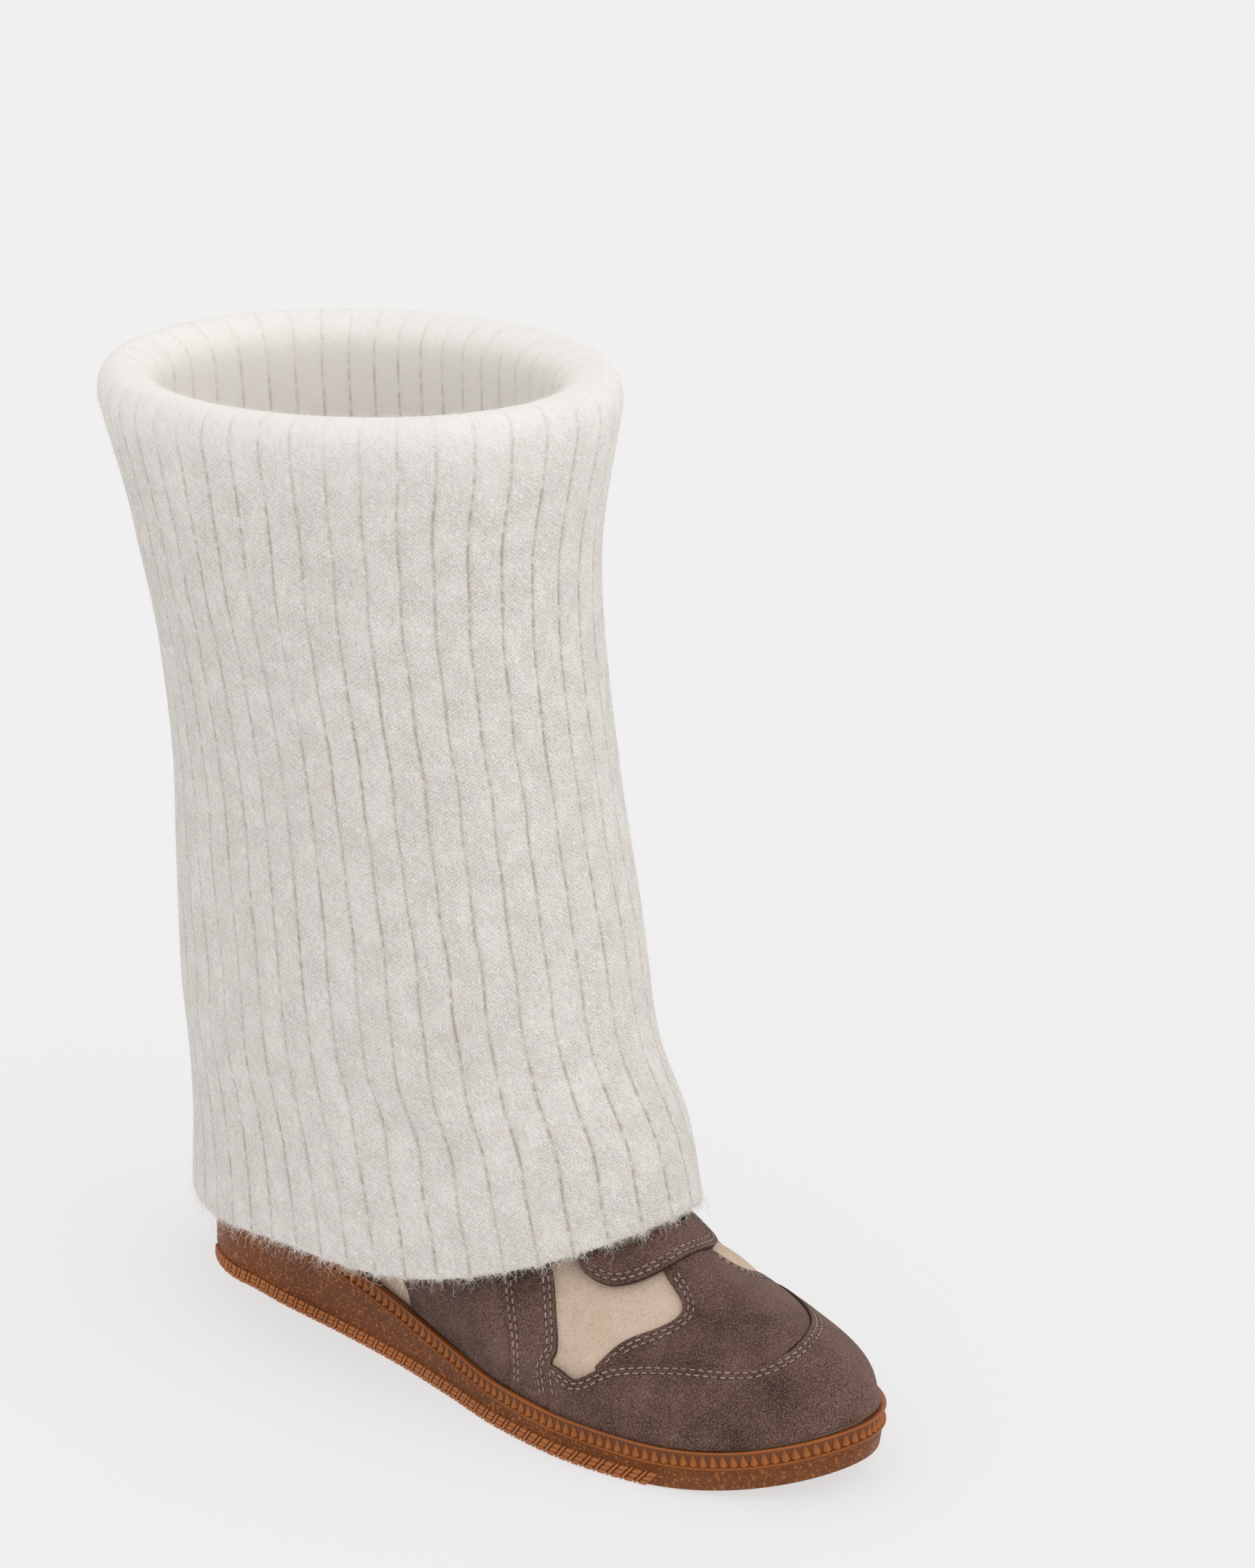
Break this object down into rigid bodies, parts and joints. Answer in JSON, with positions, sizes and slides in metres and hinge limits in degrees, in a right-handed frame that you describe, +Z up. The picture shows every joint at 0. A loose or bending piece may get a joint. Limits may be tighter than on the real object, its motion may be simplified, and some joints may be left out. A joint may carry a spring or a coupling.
{
  "type": "sweater boot",
  "caption": "Ankle boot for the right foot with a gum rubber wedge cupsole, panelled suede shoe and a ribbed knit shaft folded over and hanging down over the ankle.",
  "frame": {"origin": "middle of the bounding box in plan, on the ground under the sole", "axes": "+Z up the shaft, toe toward -Y, outer side of the right foot toward -X, inner side toward +X"},
  "size_m": [0.127, 0.296, 0.309],
  "materials": {
    "gum_rubber": "translucent-looking brown gum rubber, matt, pebbled side",
    "sand_suede": "napped sand suede, no shine",
    "brown_suede": "napped taupe brown suede, no shine",
    "footbed": "matt cloth-covered footbed",
    "ivory_knit": "brushed ivory wool rib knit, fuzzy"
  },
  "bodies": {
    "root": {"outsole": "gum_rubber", "upper": "sand_suede", "insole": "footbed", "toe_guard": "brown_suede", "vamp_panel": "brown_suede", "side_band_outer": "brown_suede", "side_band_inner": "brown_suede", "quarter_panel_outer": "brown_suede", "quarter_panel_inner": "brown_suede", "strap": "brown_suede", "knit_shaft": "ivory_knit"}
  },
  "joints": []
}
